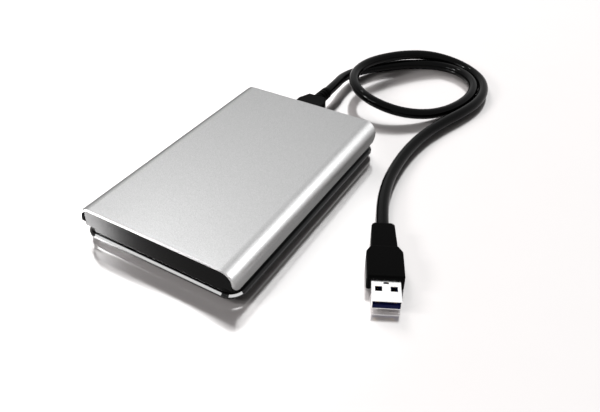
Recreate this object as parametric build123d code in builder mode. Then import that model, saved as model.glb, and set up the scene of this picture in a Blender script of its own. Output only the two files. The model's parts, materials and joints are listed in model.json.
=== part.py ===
from build123d import *
from math import acos, cos, degrees, hypot, radians, sin, tan
import os

# Portable external hard drive with its loose USB cable.
# A silver cover and a gloss black base hold a 2.5-inch hard disk in soft corner bumpers.
# A bridge board joins the disk to a micro-B socket in the rear wall.
# Millimetres. The origin is on the table under the case's centre, +Y points to the
# socket and +Z up.

os.makedirs("parts", exist_ok=True)

# General clearances
SEAT_GAP = 0.1
FIT_GAP = 0.2

# Hard disk outline
DRIVE_WIDTH = 69.85
DRIVE_LENGTH = 100.35
DRIVE_CORNER = 2.5

# Case, from the disk outwards
BUMPER_SIDE = 4.1
BUMPER_END = 2.0
BUMPER_GAP = 0.3
BUMPER_FLANGE = 0.8
BUMPER_REACH_X = 12.0
BUMPER_REACH_Y = 17.0
BUMPER_STOP_WIDTH = 8.0
BUMPER_STOP_THICKNESS = 1.4
BUMPER_STOP_HEIGHT = 6.0
BOARD_BAY = 22.0
FOAM_THICKNESS = 1.5
FOAM_WIDTH = 40.0
FOAM_LENGTH = 62.0
FRAME_WALL = 1.8
FRAME_TONGUE = 0.9
RIM_LEDGE = 1.3
RIM_OVERHANG = 0.5
RIM_RADIUS = 7.5
RIM_BEVEL = 0.8
BOTTOM_WALL = 1.4
BOTTOM_DEPTH = 3.6
HULL_INSET = 2.8
HULL_HEIGHT = 1.8
BAND_HEIGHT = 3.1
RAIL_HEIGHT = 3.0
END_WALL_DEPTH = 9.0
END_WALL_RADIUS = 1.5
COVER_WALL = 1.2
COVER_RADIUS = 6.5
COVER_CORNER = 4.2
COVER_ROUND = 0.3
SNAP_LENGTH = 8.0
SNAP_HEIGHT = 1.0
SNAP_DEPTH = 0.9
SNAP_PITCH = 36.0
SNAP_COUNT = 3

# Feet and case screws
FOOT_HEIGHT = 1.0
FOOT_RECESS = 0.4
FOOT_RADIUS = 4.0
FOOT_BEVEL = 0.3
FOOT_INSET_X = 9.0
FOOT_INSET_Y = 11.5
SCREW_RADIUS = 1.0
SCREW_LENGTH = 7.0
SCREW_HEAD_RADIUS = 1.9
SCREW_HEAD_HEIGHT = 1.2
SCREW_BOSS_RADIUS = 3.0
SCREW_BOSS_HEIGHT = 5.0
BOSS_RIB = 1.6

# Bridge board and sockets
BOARD_THICKNESS = 1.0
BOARD_WIDTH = 44.0
BOARD_LIFT = 2.6
BOARD_POST_RADIUS = 2.2
BOARD_SCREW_RADIUS = 0.8
BOARD_SCREW_HEAD_RADIUS = 1.6
BOARD_SCREW_HEAD_HEIGHT = 0.8
BOARD_SCREW_LENGTH = 3.0
BOARD_SCREW_INSET = 3.0
BOARD_SCREW_SETBACK = 5.0
CHIP_SIZE = 7.0
CHIP_HEIGHT = 0.9
PORT_X = -6.0
SOCKET_WIDTH = 12.6
SOCKET_HEIGHT = 2.9
SOCKET_DEPTH = 6.6
SOCKET_SHEET = 0.3
SOCKET_SETBACK = 0.3
TONGUE_WIDTH = 9.8
TONGUE_THICKNESS = 0.5
LED_SIZE = 1.6
LED_INSET = 7.0
LIGHT_PIPE_RADIUS = 0.8
SATA_WIDTH = 37.0
SATA_HEIGHT = 4.4
SATA_BODY = 4.0
SATA_NOSE = 3.8
SATA_SIGNAL = 10.4
SATA_POWER = 21.0
SATA_SPLIT = 2.2
SATA_BLADE = 1.2
SATA_BLADE_LENGTH = 3.4
SATA_BLOCK = 2.2

# Disk mechanism
BOARD_POCKET = 1.9
DRIVE_FLOOR = 1.1
DRIVE_BOARD_THICKNESS = 0.8
DRIVE_BOARD_LENGTH = 50.0
DRIVE_BOARD_BOSS = 2.4
DRIVE_BOARD_BOSS_HEIGHT = 0.6
DRIVE_CHIP_HEIGHT = 0.5
CONTROLLER_CHIP = 12.0
MEMORY_CHIP = 8.0
DRIVE_CHIP_GAP = 6.0
DRIVE_WALL = 1.6
DRIVE_END_WALL = 7.4
LID_SHEET = 0.5
LID_RAISE = 0.3
LID_INSET = 0.4
LID_SCREW_INSET = 3.4
LID_SCREW_RADIUS = 0.8
LID_SCREW_LENGTH = 4.0
LID_SCREW_HEAD_RADIUS = 1.7
DISC_BORE = 10.0
DISC_THICKNESS = 0.8
DISC_SPACING = 1.7
DISC_COUNT = 3
DISC_CLEARANCE = 0.8
FIRST_GAP = 1.6
LAST_GAP = 1.3
RUN_FIT = 0.05
SHAFT_RADIUS = 1.6
SHAFT_FLANGE_RADIUS = 2.9
SHAFT_FLANGE_HEIGHT = 0.4
HUB_SLEEVE = 1.5
HUB_WALL = 1.1
HUB_WEB = 2.4
HUB_FLANGE_WIDTH = 2.2
HUB_FLANGE_HEIGHT = 0.9
MAGNET_RING = 0.8
STATOR_HEIGHT = 2.6
STATOR_TEETH = 9
STATOR_AIR_GAP = 0.3
STATOR_YOKE = 1.2
TOOTH_WIDTH = 1.1
CLAMP_HEIGHT = 0.5
CLAMP_HOLES = 6
CLAMP_HOLE_RADIUS = 1.0
CLAMP_SCREW_RADIUS = 1.0
CLAMP_SCREW_LENGTH = 1.4
CLAMP_SCREW_HEAD_RADIUS = 2.4
CLAMP_SCREW_HEAD_HEIGHT = 0.4

# Head actuator
PIVOT_INSET = 20.325
PIVOT_REACH = 39.925
YOKE_CLEARANCE = 0.5
PIVOT_RADIUS = 2.0
BEARING_WALL = 1.8
ARM_HUB_WALL = 2.2
ARM_REACH = 27.0
ARM_ROOT = 9.0
ARM_TIP = 4.0
ARM_HOLE_RADIUS = 1.5
ARM_HOLE_REACH = 14.0
HEAD_OFFSET = 5.8
HEAD_FLY = 0.15
SUSPENSION_THICKNESS = 0.15
SUSPENSION_START = 21.0
SUSPENSION_TIP = 1.2
LIFT_TAB = 2.4
SLIDER_LENGTH = 1.25
SLIDER_WIDTH = 1.0
SLIDER_HEIGHT = 0.25
PARK_CLEARANCE = 2.1
COIL_INNER = 7.6
COIL_OUTER = 17.0
COIL_HALF_ANGLE = 21.0
COIL_WINDING = 2.6
COIL_THICKNESS = 1.6
FORK_ANGLE = 4.0
YOKE_PLATE = 1.3
YOKE_INNER = 8.2
YOKE_OUTER = 17.6
YOKE_POST_RADIUS = 1.2
POST_CLEAR_ANGLE = 0.5
COIL_GAP = 0.4
INNER_TRACK = 14.6
RAMP_DEPTH = 3.2
RAMP_HALF_ANGLE = 4.2
RAMP_FINGER = 0.4

# Cable and plugs
CABLE_RADIUS = 3.0
EXIT_RUN = 12.0
PLUG_B_WIDTH = 17.4
PLUG_B_NECK = 11.0
PLUG_B_THICKNESS = 7.4
PLUG_B_BLOCK = 14.5
PLUG_B_TAPER = 7.0
PLUG_B_ROUND = 1.2
RELIEF_LENGTH = 11.0
RELIEF_ROOT_RADIUS = 3.7
RELIEF_TIP_RADIUS = 3.4
RELIEF_GROOVE = 0.8
RELIEF_GROOVE_DEPTH = 0.5
RELIEF_GROOVES = 3
PLUG_B_SHELL_WIDTH = 11.6
PLUG_B_SHELL_HEIGHT = 1.9
PLUG_B_SHELL_WALL = 0.3
PLUG_B_INSERTION = 4.6
PLUG_A_X = 73.9
PLUG_A_Y = 5.6
PLUG_A_TURN = -63.5
PLUG_A_NECK_REAR = 10.4
PLUG_A_NECK_FRONT = 11.8
PLUG_A_NECK_LENGTH = 16.0
PLUG_A_NECK_THICKNESS = 6.6
PLUG_A_SHOULDER = 3.4
PLUG_A_WIDTH = 15.8
PLUG_A_THICKNESS = 8.0
PLUG_A_BLOCK = 15.6
PLUG_A_ROUND = 0.8
PLUG_A_NECK_CORNER = 2.0
USB_A_WIDTH = 12.0
USB_A_HEIGHT = 4.5
USB_A_LENGTH = 11.8
USB_A_SHEET = 0.35
USB_A_HOLE_WIDTH = 2.9
USB_A_HOLE_LENGTH = 2.7
USB_A_HOLE_SPREAD = 6.3
USB_A_HOLE_REACH = 5.1
USB_A_SLOT_WIDTH = 2.2
USB_A_SLOT_LENGTH = 1.0
USB_A_SLOT_REACH = 1.9
USB_A_TONGUE_THICKNESS = 1.9
USB_A_CONTACT_WIDTH = 1.0
USB_A_CONTACT_LENGTH = 7.4
USB_A_CONTACT_HEIGHT = 0.15
USB_A_CONTACT_PITCH = 2.3
USB_A_CONTACT_COUNT = 4
USB_A_CONTACT_SETBACK = 1.2

# Heights, from the table up
inner_floor = FOOT_HEIGHT + BOTTOM_WALL
rim_top = FOOT_HEIGHT + BOTTOM_DEPTH
cover_edge = rim_top + BAND_HEIGHT
rail_top = cover_edge + RAIL_HEIGHT
drive_bottom = inner_floor + BUMPER_FLANGE
cavity_floor = drive_bottom + BOARD_POCKET + DRIVE_FLOOR
disc_pitch = DISC_THICKNESS + DISC_SPACING
disc_bottoms = [cavity_floor + FIRST_GAP + i * disc_pitch for i in range(DISC_COUNT)]
stack_top = disc_bottoms[-1] + DISC_THICKNESS
lid_bottom = stack_top + LAST_GAP
drive_top = lid_bottom + LID_SHEET + LID_RAISE
cover_ceiling = drive_top + FOAM_THICKNESS
case_height = cover_ceiling + COVER_WALL
board_bottom = inner_floor + BOARD_LIFT
board_top = board_bottom + BOARD_THICKNESS
port_z = board_top + SOCKET_HEIGHT / 2
sata_z = board_bottom + BOARD_THICKNESS / 2
led_x = PORT_X + BOARD_WIDTH / 2 - LED_INSET

# Plan sizes, from the disk outwards
inner_width = DRIVE_WIDTH + 2 * (SEAT_GAP + BUMPER_SIDE + BUMPER_GAP)
inner_length = BUMPER_GAP + BUMPER_END + SEAT_GAP + DRIVE_LENGTH + BOARD_BAY
frame_width = inner_width + 2 * FRAME_WALL
frame_length = inner_length + 2 * FRAME_WALL
frame_radius = RIM_RADIUS - RIM_LEDGE
rim_width = frame_width + 2 * RIM_LEDGE
rim_length = frame_length + 2 * RIM_LEDGE
cover_width = rim_width - 2 * RIM_OVERHANG
cover_length = rim_length - 2 * RIM_OVERHANG
cavity_width = cover_width - 2 * COVER_WALL
drive_front = -inner_length / 2 + BUMPER_GAP + BUMPER_END + SEAT_GAP
drive_rear = drive_front + DRIVE_LENGTH
drive_y = (drive_front + drive_rear) / 2
inner_rear = inner_length / 2
foot_x = rim_width / 2 - FOOT_INSET_X
foot_y = rim_length / 2 - FOOT_INSET_Y
foot_places = {
    "front_left": (-foot_x, -foot_y),
    "front_right": (foot_x, -foot_y),
    "rear_left": (-foot_x, foot_y),
    "rear_right": (foot_x, foot_y),
}
screw_places = [(-foot_x, foot_y), (foot_x, foot_y)]
FLAT = (Align.CENTER, Align.CENTER, Align.MIN)


def save(builder, name):
    """Labels a finished piece and writes its STEP file."""
    builder.part.label = name
    export_step(builder.part, f"parts/{name}.step")


def ring_sector(inner, outer, middle, half_angle, mode=Mode.ADD):
    """Adds a ring sector about the open sketch's origin, angles in degrees."""
    with BuildLine() as outline:
        inside = CenterArc((0, 0), inner, middle - half_angle, 2 * half_angle)
        outside = CenterArc((0, 0), outer, middle - half_angle, 2 * half_angle)
        Line(inside @ 0, outside @ 0)
        Line(inside @ 1, outside @ 1)
    make_face(outline.edges(), mode=mode)


def tapered_strip(start, end, start_width, end_width):
    """Adds a symmetrical tapered strip along the open sketch's x axis."""
    with BuildLine() as outline:
        Polyline(
            (start, -start_width / 2),
            (end, -end_width / 2),
            (end, end_width / 2),
            (start, start_width / 2),
            close=True,
        )
    make_face(outline.edges())


# Bottom cover: a shallow dish with a proud rim, screw bosses and board posts
board_screw_x = BOARD_WIDTH / 2 - BOARD_SCREW_INSET
board_screw_y = inner_rear - BOARD_SCREW_SETBACK
board_post_places = [(PORT_X + side * board_screw_x, board_screw_y) for side in (-1, 1)]
bumper_rear = drive_rear + SEAT_GAP + BUMPER_END

with BuildPart() as bottom_cover:
    with BuildSketch(Plane.XY.offset(FOOT_HEIGHT)):
        RectangleRounded(rim_width, rim_length, RIM_RADIUS)
    extrude(amount=BOTTOM_DEPTH)
    underside = bottom_cover.faces().sort_by(Axis.Z)[0]
    chamfer(underside.edges(), length=HULL_INSET, length2=HULL_HEIGHT, reference=underside)
    offset(amount=-BOTTOM_WALL, openings=bottom_cover.faces().sort_by(Axis.Z)[-1])
    chamfer(bottom_cover.faces().sort_by(Axis.Z)[-1].outer_wire().edges(), RIM_BEVEL)
    with BuildSketch(Plane.XY.offset(inner_floor)):
        with Locations(*screw_places):
            Circle(SCREW_BOSS_RADIUS)
    extrude(amount=rim_top - inner_floor)
    with BuildSketch(Plane.XY.offset(inner_floor)):
        with Locations(*board_post_places):
            Circle(BOARD_POST_RADIUS)
    extrude(amount=BOARD_LIFT)
    with BuildSketch(Plane.XY.offset(inner_floor)):
        for side in (-1, 1):
            stop_x = (DRIVE_WIDTH - BUMPER_STOP_WIDTH) / 2
            with Locations((side * stop_x, bumper_rear + SEAT_GAP)):
                Rectangle(BUMPER_STOP_WIDTH, BUMPER_STOP_THICKNESS, align=(Align.CENTER, Align.MIN))
    extrude(amount=BUMPER_STOP_HEIGHT)
    with Locations(*[(x, y, FOOT_HEIGHT) for x, y in foot_places.values()]):
        Cylinder(FOOT_RADIUS + SEAT_GAP, FOOT_RECESS, align=FLAT, mode=Mode.SUBTRACT)
    with Locations(*[(x, y, FOOT_HEIGHT + FOOT_RECESS) for x, y in screw_places]):
        Cylinder(SCREW_RADIUS + SEAT_GAP, BOTTOM_DEPTH, align=FLAT, mode=Mode.SUBTRACT)
        Cylinder(SCREW_HEAD_RADIUS + SEAT_GAP, SCREW_HEAD_HEIGHT, align=FLAT, mode=Mode.SUBTRACT)
    with Locations(*[(x, y, inner_floor) for x, y in board_post_places]):
        Cylinder(BOARD_SCREW_RADIUS, BOARD_LIFT, align=FLAT, mode=Mode.SUBTRACT)
save(bottom_cover, "bottom_cover")

# Middle frame: gloss black ring with high end walls that fill the open ends of the cover
boss_rib_length = inner_width / 2 - foot_x

with BuildPart() as mid_frame:
    with BuildSketch(Plane.XY.offset(rim_top)):
        RectangleRounded(frame_width, frame_length, frame_radius)
    extrude(amount=BAND_HEIGHT - FIT_GAP)
    with BuildSketch(Plane.XY.offset(cover_edge - FIT_GAP)):
        RectangleRounded(frame_width, frame_length, END_WALL_RADIUS)
    extrude(amount=cover_ceiling - cover_edge)
    with BuildSketch(Plane.XY.offset(rim_top - FRAME_TONGUE)):
        tongue_inset = 2 * (BOTTOM_WALL + SEAT_GAP)
        RectangleRounded(rim_width - tongue_inset, rim_length - tongue_inset, RIM_RADIUS - tongue_inset / 2)
    extrude(amount=FRAME_TONGUE)
    with BuildSketch(Plane.XY.offset(rim_top - FRAME_TONGUE)):
        RectangleRounded(inner_width, inner_length, frame_radius - FRAME_WALL)
    extrude(amount=case_height, mode=Mode.SUBTRACT)
    with BuildSketch(Plane.XZ) as envelope:
        with Locations((0, rim_top - FRAME_TONGUE)):
            Rectangle(
                frame_width,
                FRAME_TONGUE + BAND_HEIGHT - FIT_GAP,
                align=(Align.CENTER, Align.MIN),
            )
            Rectangle(
                cavity_width - 2 * FIT_GAP,
                cover_ceiling - FIT_GAP - rim_top + FRAME_TONGUE,
                align=(Align.CENTER, Align.MIN),
            )
        fillet(envelope.vertices().group_by(Axis.Y)[-1], COVER_RADIUS - COVER_WALL - FIT_GAP)
    extrude(amount=frame_length, both=True, mode=Mode.INTERSECT)
    with Locations((0, 0, rail_top)):
        Box(cover_width, frame_length - 2 * END_WALL_DEPTH, case_height, align=FLAT, mode=Mode.SUBTRACT)
    with BuildSketch(Plane.XY.offset(rim_top)):
        for x, y in screw_places:
            with Locations((x, y)):
                Circle(SCREW_BOSS_RADIUS)
            with Locations((x + (boss_rib_length if x > 0 else -boss_rib_length) / 2, y)):
                Rectangle(boss_rib_length, BOSS_RIB)
    extrude(amount=SCREW_BOSS_HEIGHT)
    with Locations(*[(x, y, rim_top) for x, y in screw_places]):
        Cylinder(SCREW_RADIUS, SCREW_BOSS_HEIGHT, align=FLAT, mode=Mode.SUBTRACT)
    with BuildSketch(Plane.XZ.offset(-frame_length / 2)):
        with Locations((PORT_X, port_z)):
            Rectangle(SOCKET_WIDTH + 2 * FIT_GAP, SOCKET_HEIGHT + 2 * FIT_GAP)
        with Locations((led_x, board_top + LED_SIZE / 2)):
            Circle(LIGHT_PIPE_RADIUS + RUN_FIT)
    extrude(amount=FRAME_WALL, mode=Mode.SUBTRACT)
    with Locations((0, 0, (cover_edge + rail_top) / 2)):
        with GridLocations(cavity_width, SNAP_PITCH, 2, SNAP_COUNT):
            Box(
                2 * FRAME_WALL,
                SNAP_LENGTH + 2 * FIT_GAP,
                SNAP_HEIGHT + 2 * FIT_GAP,
                mode=Mode.SUBTRACT,
            )
save(mid_frame, "mid_frame")

# Top cover: a silver U section, open at both ends, with rounded free corners and snaps
with BuildPart() as top_cover:
    with BuildSketch(Plane.XZ) as cover_outside:
        with Locations((0, cover_edge)):
            Rectangle(cover_width, case_height - cover_edge, align=(Align.CENTER, Align.MIN))
        fillet(cover_outside.vertices().group_by(Axis.Y)[-1], COVER_RADIUS)
    extrude(amount=cover_length / 2, both=True)
    with BuildSketch(Plane.XZ) as cover_inside:
        with Locations((0, cover_edge)):
            Rectangle(cavity_width, cover_ceiling - cover_edge, align=(Align.CENTER, Align.MIN))
        fillet(cover_inside.vertices().group_by(Axis.Y)[-1], COVER_RADIUS - COVER_WALL)
    extrude(amount=cover_length / 2, both=True, mode=Mode.SUBTRACT)
    with BuildSketch(Plane.YZ) as cover_side:
        with Locations((0, cover_edge)):
            Rectangle(cover_length, case_height - cover_edge, align=(Align.CENTER, Align.MIN))
        fillet(cover_side.vertices().group_by(Axis.Y)[0], COVER_CORNER)
    extrude(amount=cover_width, both=True, mode=Mode.INTERSECT)
    fillet(top_cover.edges().filter_by(Axis.X).group_by(Axis.Z)[-1], COVER_ROUND)
    with Locations((0, 0, (cover_edge + rail_top) / 2)):
        with GridLocations(cavity_width, SNAP_PITCH, 2, SNAP_COUNT):
            Box(2 * SNAP_DEPTH, SNAP_LENGTH, SNAP_HEIGHT)
save(top_cover, "top_cover")

# Rubber feet, each glued into its round recess
for place, (x, y) in foot_places.items():
    with BuildPart() as foot:
        with Locations((x, y, 0)):
            Cylinder(FOOT_RADIUS, FOOT_HEIGHT + FOOT_RECESS, align=FLAT)
        chamfer(foot.edges().group_by(Axis.Z)[0], FOOT_BEVEL)
    save(foot, f"foot_{place}")

# Case screws, under the two rear feet
with BuildPart() as case_screws:
    with Locations(*[(x, y, FOOT_HEIGHT + FOOT_RECESS) for x, y in screw_places]):
        Cylinder(SCREW_HEAD_RADIUS, SCREW_HEAD_HEIGHT, align=FLAT)
        Cylinder(SCREW_RADIUS, SCREW_LENGTH, align=FLAT)
save(case_screws, "case_screws")

# Soft bumpers round the disk's four corners, with a flange that carries it
bumper_x = DRIVE_WIDTH / 2 + SEAT_GAP + BUMPER_SIDE
bumper_front = drive_front - SEAT_GAP - BUMPER_END
bumper_places = {
    "front_left": (-bumper_x, bumper_front, 1, 1),
    "front_right": (bumper_x, bumper_front, -1, 1),
    "rear_left": (-bumper_x, bumper_rear, 1, -1),
    "rear_right": (bumper_x, bumper_rear, -1, -1),
}
for place, (x, y, inward_x, inward_y) in bumper_places.items():
    corner_plane = Plane((x, y, inner_floor), x_dir=(inward_x, 0, 0), z_dir=(0, 0, inward_x * inward_y))
    rise = inward_x * inward_y
    with BuildPart() as bumper:
        with BuildSketch(corner_plane) as corner:
            Rectangle(BUMPER_REACH_X, BUMPER_REACH_Y, align=(Align.MIN, Align.MIN))
            fillet(corner.vertices().sort_by_distance((0, 0, 0))[0], frame_radius - FRAME_WALL)
        extrude(amount=rise * (drive_top - inner_floor))
        with Locations((0, drive_y, drive_bottom)):
            Box(
                DRIVE_WIDTH + 2 * SEAT_GAP,
                DRIVE_LENGTH + 2 * SEAT_GAP,
                drive_top - inner_floor,
                align=FLAT,
                mode=Mode.SUBTRACT,
            )
    save(bumper, f"bumper_{place}")

# Foam strip between the disk's lid and the cover
with BuildPart() as foam_pad:
    with BuildSketch(Plane.XY.offset(drive_top)):
        with Locations((0, drive_y)):
            Rectangle(FOAM_WIDTH, FOAM_LENGTH)
    extrude(amount=FOAM_THICKNESS)
save(foam_pad, "foam_pad")

# Bridge board with its screws, chip and activity light
sata_front = drive_rear - SATA_NOSE
board_front = drive_rear + SATA_BODY
board_rear = inner_rear - FIT_GAP
led_face = board_rear - FIT_GAP

with BuildPart() as bridge_board:
    with BuildSketch(Plane.XY.offset(board_bottom)):
        with Locations((PORT_X, (board_front + board_rear) / 2)):
            Rectangle(BOARD_WIDTH, board_rear - board_front)
        with Locations(*board_post_places):
            Circle(BOARD_SCREW_RADIUS + SEAT_GAP, mode=Mode.SUBTRACT)
    extrude(amount=BOARD_THICKNESS)
save(bridge_board, "bridge_board")

with BuildPart() as board_screws:
    with Locations(*[(x, y, board_top) for x, y in board_post_places]):
        Cylinder(BOARD_SCREW_HEAD_RADIUS, BOARD_SCREW_HEAD_HEIGHT, align=FLAT)
    with Locations(*[(x, y, board_top - BOARD_SCREW_LENGTH) for x, y in board_post_places]):
        Cylinder(BOARD_SCREW_RADIUS, BOARD_SCREW_LENGTH, align=FLAT)
save(board_screws, "board_screws")

with BuildPart() as bridge_chip:
    with Locations((PORT_X, board_front + CHIP_SIZE, board_top)):
        Box(CHIP_SIZE, CHIP_SIZE, CHIP_HEIGHT, align=FLAT)
save(bridge_chip, "bridge_chip")

with BuildPart() as activity_led:
    with Locations((led_x, led_face - LED_SIZE / 2, board_top)):
        Box(LED_SIZE, LED_SIZE, LED_SIZE, align=FLAT)
save(activity_led, "activity_led")

with BuildPart() as light_pipe:
    with BuildSketch(Plane.XZ.offset(-led_face)):
        with Locations((led_x, board_top + LED_SIZE / 2)):
            Circle(LIGHT_PIPE_RADIUS)
    extrude(amount=-(frame_length / 2 - led_face))
save(light_pipe, "light_pipe")

# Micro-B socket: folded steel shell and plastic tongue
socket_mouth = frame_length / 2 - SOCKET_SETBACK
socket_back = socket_mouth - SOCKET_DEPTH

with BuildPart() as usb_socket_shell:
    with BuildSketch(Plane.XZ.offset(-socket_back)):
        with Locations((PORT_X, port_z)):
            Rectangle(SOCKET_WIDTH, SOCKET_HEIGHT)
            Rectangle(
                SOCKET_WIDTH - 2 * SOCKET_SHEET,
                SOCKET_HEIGHT - 2 * SOCKET_SHEET,
                mode=Mode.SUBTRACT,
            )
    extrude(amount=-SOCKET_DEPTH)
save(usb_socket_shell, "usb_socket_shell")

with BuildPart() as usb_socket_tongue:
    with BuildSketch(Plane.XZ.offset(-socket_back)):
        with Locations((PORT_X, port_z)):
            Rectangle(SOCKET_WIDTH - 2 * SOCKET_SHEET, SOCKET_HEIGHT - 2 * SOCKET_SHEET)
    extrude(amount=-(SOCKET_DEPTH - PLUG_B_INSERTION - FIT_GAP))
    with BuildSketch(Plane.XZ.offset(-socket_back)):
        with Locations((PORT_X, port_z)):
            Rectangle(TONGUE_WIDTH, TONGUE_THICKNESS)
    extrude(amount=-(SOCKET_DEPTH - SOCKET_SETBACK))
save(usb_socket_tongue, "usb_socket_tongue")

# Disk connector: a split blade on the disk and the slotted socket on the bridge board
blade_width = SATA_SIGNAL + SATA_SPLIT + SATA_POWER
signal_x = PORT_X - blade_width / 2 + SATA_SIGNAL / 2
power_x = PORT_X + blade_width / 2 - SATA_POWER / 2
blades = [(signal_x, SATA_SIGNAL), (power_x, SATA_POWER)]
block_front = sata_front - FIT_GAP - SATA_BLOCK

with BuildPart() as sata_plug:
    with BuildSketch(Plane.XZ.offset(-block_front)):
        with Locations((PORT_X, sata_z)):
            Rectangle(SATA_WIDTH, SATA_HEIGHT)
    extrude(amount=-SATA_BLOCK)
    with BuildSketch(Plane.XZ.offset(-(block_front + SATA_BLOCK))):
        for x, width in blades:
            with Locations((x, sata_z)):
                Rectangle(width, SATA_BLADE)
    extrude(amount=-SATA_BLADE_LENGTH)
save(sata_plug, "sata_plug")

with BuildPart() as sata_socket:
    with BuildSketch(Plane.XZ.offset(-sata_front)):
        with Locations((PORT_X, sata_z)):
            Rectangle(SATA_WIDTH, SATA_HEIGHT)
    extrude(amount=-(board_front - sata_front))
    with BuildSketch(Plane.XZ.offset(-sata_front)):
        for x, width in blades:
            with Locations((x, sata_z)):
                Rectangle(width + 2 * FIT_GAP, SATA_BLADE + 2 * FIT_GAP)
    extrude(amount=-(SATA_BLADE_LENGTH + FIT_GAP), mode=Mode.SUBTRACT)
save(sata_socket, "sata_socket")

# Disk base: cast tray with the disc well, actuator bay, board pocket and connector notch
bay_half_width = DRIVE_WIDTH / 2 - DRIVE_WALL
side_room = bay_half_width - DISC_CLEARANCE
actuator_room = PIVOT_REACH + YOKE_OUTER + YOKE_CLEARANCE + DRIVE_END_WALL
length_room = DRIVE_LENGTH - actuator_room - DRIVE_WALL - DISC_CLEARANCE
disc_radius = min(side_room, length_room)
spindle_y = drive_front + disc_radius + DISC_CLEARANCE + DRIVE_WALL
bay_rear = drive_rear - DRIVE_END_WALL
pivot_x = PIVOT_INSET - bay_half_width
pivot_y = spindle_y + PIVOT_REACH
spindle = (0, spindle_y)
pivot = (pivot_x, pivot_y)
stator_inner = SHAFT_RADIUS + RUN_FIT + HUB_SLEEVE + STATOR_AIR_GAP
hub_inner = DISC_BORE - RUN_FIT - HUB_WALL
stator_outer = hub_inner - MAGNET_RING - STATOR_AIR_GAP
hub_bottom = disc_bottoms[0] - HUB_FLANGE_HEIGHT
stator_bottom = hub_bottom + STATOR_AIR_GAP
notch_front = block_front - SEAT_GAP
drive_board_bottom = drive_bottom + BOARD_POCKET - DRIVE_BOARD_BOSS_HEIGHT - DRIVE_BOARD_THICKNESS
drive_board_rear = notch_front - SEAT_GAP
drive_board_front = drive_board_rear - DRIVE_BOARD_LENGTH
drive_board_width = DRIVE_WIDTH - 4 * DRIVE_WALL
drive_boss_places = [
    (x, y)
    for x in (-drive_board_width / 2 + DRIVE_BOARD_BOSS, drive_board_width / 2 - DRIVE_BOARD_BOSS)
    for y in (drive_board_front + DRIVE_BOARD_BOSS, drive_board_rear - DRIVE_BOARD_BOSS)
]
lid_screw_places = [
    (x, y)
    for x in (-DRIVE_WIDTH / 2 + LID_SCREW_INSET, DRIVE_WIDTH / 2 - LID_SCREW_INSET)
    for y in (drive_front + LID_SCREW_INSET, drive_rear - LID_SCREW_INSET)
]

with BuildPart() as drive_base:
    with BuildSketch(Plane.XY.offset(drive_bottom)):
        with Locations((0, drive_y)):
            RectangleRounded(DRIVE_WIDTH, DRIVE_LENGTH, DRIVE_CORNER)
    extrude(amount=lid_bottom - drive_bottom)
    with BuildSketch(Plane.XY.offset(cavity_floor)):
        with Locations(spindle):
            Circle(disc_radius + DISC_CLEARANCE)
            Rectangle(2 * bay_half_width, bay_rear - spindle_y, align=(Align.CENTER, Align.MIN))
    extrude(amount=lid_bottom - cavity_floor, mode=Mode.SUBTRACT)
    with BuildSketch(Plane.XY.offset(drive_bottom)):
        with Locations((0, drive_board_rear)):
            Rectangle(
                drive_board_width + 2 * SEAT_GAP,
                DRIVE_BOARD_LENGTH + SEAT_GAP,
                align=(Align.CENTER, Align.MAX),
            )
        with Locations((PORT_X, drive_board_rear)):
            Rectangle(
                SATA_WIDTH + 2 * FIT_GAP,
                drive_rear - drive_board_rear,
                align=(Align.CENTER, Align.MIN),
            )
    extrude(amount=BOARD_POCKET, mode=Mode.SUBTRACT)
    with BuildSketch(Plane.XY.offset(drive_bottom)):
        with Locations((PORT_X, drive_rear)):
            Rectangle(
                SATA_WIDTH + 2 * FIT_GAP,
                drive_rear - notch_front,
                align=(Align.CENTER, Align.MAX),
            )
    extrude(amount=sata_z + SATA_HEIGHT / 2 + SEAT_GAP - drive_bottom, mode=Mode.SUBTRACT)
    with BuildSketch(Plane.XY.offset(drive_bottom + BOARD_POCKET)):
        with Locations(*drive_boss_places):
            Circle(DRIVE_BOARD_BOSS)
    extrude(amount=-DRIVE_BOARD_BOSS_HEIGHT)
    with BuildSketch(Plane.XY.offset(cavity_floor)):
        with Locations(spindle):
            Circle(stator_inner + STATOR_YOKE)
            Circle(stator_inner, mode=Mode.SUBTRACT)
    extrude(amount=stator_bottom - cavity_floor)
    with Locations(*[(x, y, lid_bottom - LID_SCREW_LENGTH) for x, y in lid_screw_places]):
        Cylinder(LID_SCREW_RADIUS, LID_SCREW_LENGTH, align=FLAT, mode=Mode.SUBTRACT)
save(drive_base, "drive_base")

# Disk lid: stamped sheet with a raised middle, and its screws
pivot_screw_places = lid_screw_places + [pivot]

with BuildPart() as drive_lid:
    with BuildSketch(Plane.XY.offset(lid_bottom)):
        with Locations((0, drive_y)):
            RectangleRounded(
                DRIVE_WIDTH - 2 * LID_INSET,
                DRIVE_LENGTH - 2 * LID_INSET,
                DRIVE_CORNER - LID_INSET,
            )
    extrude(amount=LID_SHEET)
    with BuildSketch(Plane.XY.offset(lid_bottom + LID_SHEET)):
        with Locations(spindle):
            Circle(disc_radius - DISC_CLEARANCE)
            Rectangle(
                2 * (side_room - DISC_CLEARANCE),
                bay_rear - spindle_y,
                align=(Align.CENTER, Align.MIN),
            )
        with Locations(pivot):
            Circle(LID_SCREW_HEAD_RADIUS + FIT_GAP, mode=Mode.SUBTRACT)
    extrude(amount=LID_RAISE)
    with Locations(*[(x, y, lid_bottom) for x, y in pivot_screw_places]):
        Cylinder(LID_SCREW_RADIUS + SEAT_GAP, LID_SHEET, align=FLAT, mode=Mode.SUBTRACT)
save(drive_lid, "drive_lid")

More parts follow.
